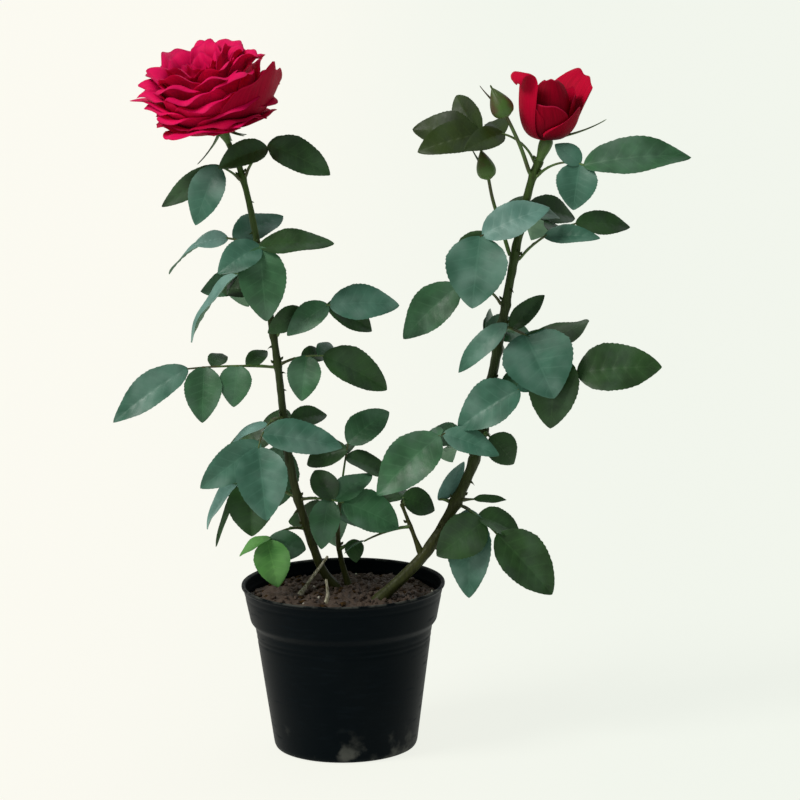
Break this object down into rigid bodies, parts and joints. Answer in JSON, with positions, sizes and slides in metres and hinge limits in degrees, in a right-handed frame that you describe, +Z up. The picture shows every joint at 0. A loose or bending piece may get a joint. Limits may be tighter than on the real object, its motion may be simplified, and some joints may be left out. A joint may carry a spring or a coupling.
{
  "type": "rose bush",
  "caption": "Potted garden rose bush with upright canes, compound leaves, an open and a half-open crimson bloom and green buds, in a black nursery pot.",
  "frame": {"origin": "centre of the pot's flat underside", "axes": "+Z up, -Y towards the side of the bush that the open bloom leans to, +X to the side of the half-open bloom"},
  "size_m": [0.4239, 0.1831, 0.5269],
  "materials": {
    "pot_plastic": "satin",
    "potting_mix": "matte",
    "green_bark": "satin",
    "dry_wood": "matte",
    "leaf_green": "satin",
    "young_leaf": "satin",
    "open_petals": "matte",
    "closed_petals": "matte",
    "bud_green": "satin"
  },
  "bodies": {
    "root": {"pot": "pot_plastic", "soil": "potting_mix", "cane_left": "green_bark", "cane_right": "green_bark", "shoot_centre": "green_bark", "shoot_side": "green_bark", "twig_dry_back": "dry_wood", "twig_dry_front": "dry_wood", "bloom_open": "open_petals", "bloom_half_open": "closed_petals", "bud_upper": "bud_green", "bud_lower": "bud_green", "leaf_01": "leaf_green", "leaf_02": "leaf_green", "leaf_03": "leaf_green", "leaf_04": "leaf_green", "leaf_05": "leaf_green", "leaf_06": "leaf_green", "leaf_07": "leaf_green", "leaf_08": "leaf_green", "leaf_09": "leaf_green", "leaf_10": "leaf_green", "leaf_11": "leaf_green", "leaf_12": "young_leaf", "leaf_13": "leaf_green", "leaf_14": "leaf_green", "leaf_15": "leaf_green", "leaf_16": "leaf_green", "leaf_17": "leaf_green", "leaf_18": "leaf_green", "leaf_19": "leaf_green", "leaf_20": "leaf_green", "leaf_21": "leaf_green", "leaf_22": "leaf_green", "leaf_23": "leaf_green", "leaf_24": "leaf_green", "leaf_25": "leaf_green", "leaf_26": "leaf_green", "leaf_27": "leaf_green", "leaf_28": "leaf_green", "leaf_29": "leaf_green", "leaf_30": "leaf_green", "leaf_31": "leaf_green", "leaf_32": "leaf_green", "leaf_33": "leaf_green", "leaf_34": "leaf_green", "leaf_35": "leaf_green", "leaf_36": "leaf_green"}
  },
  "joints": []
}
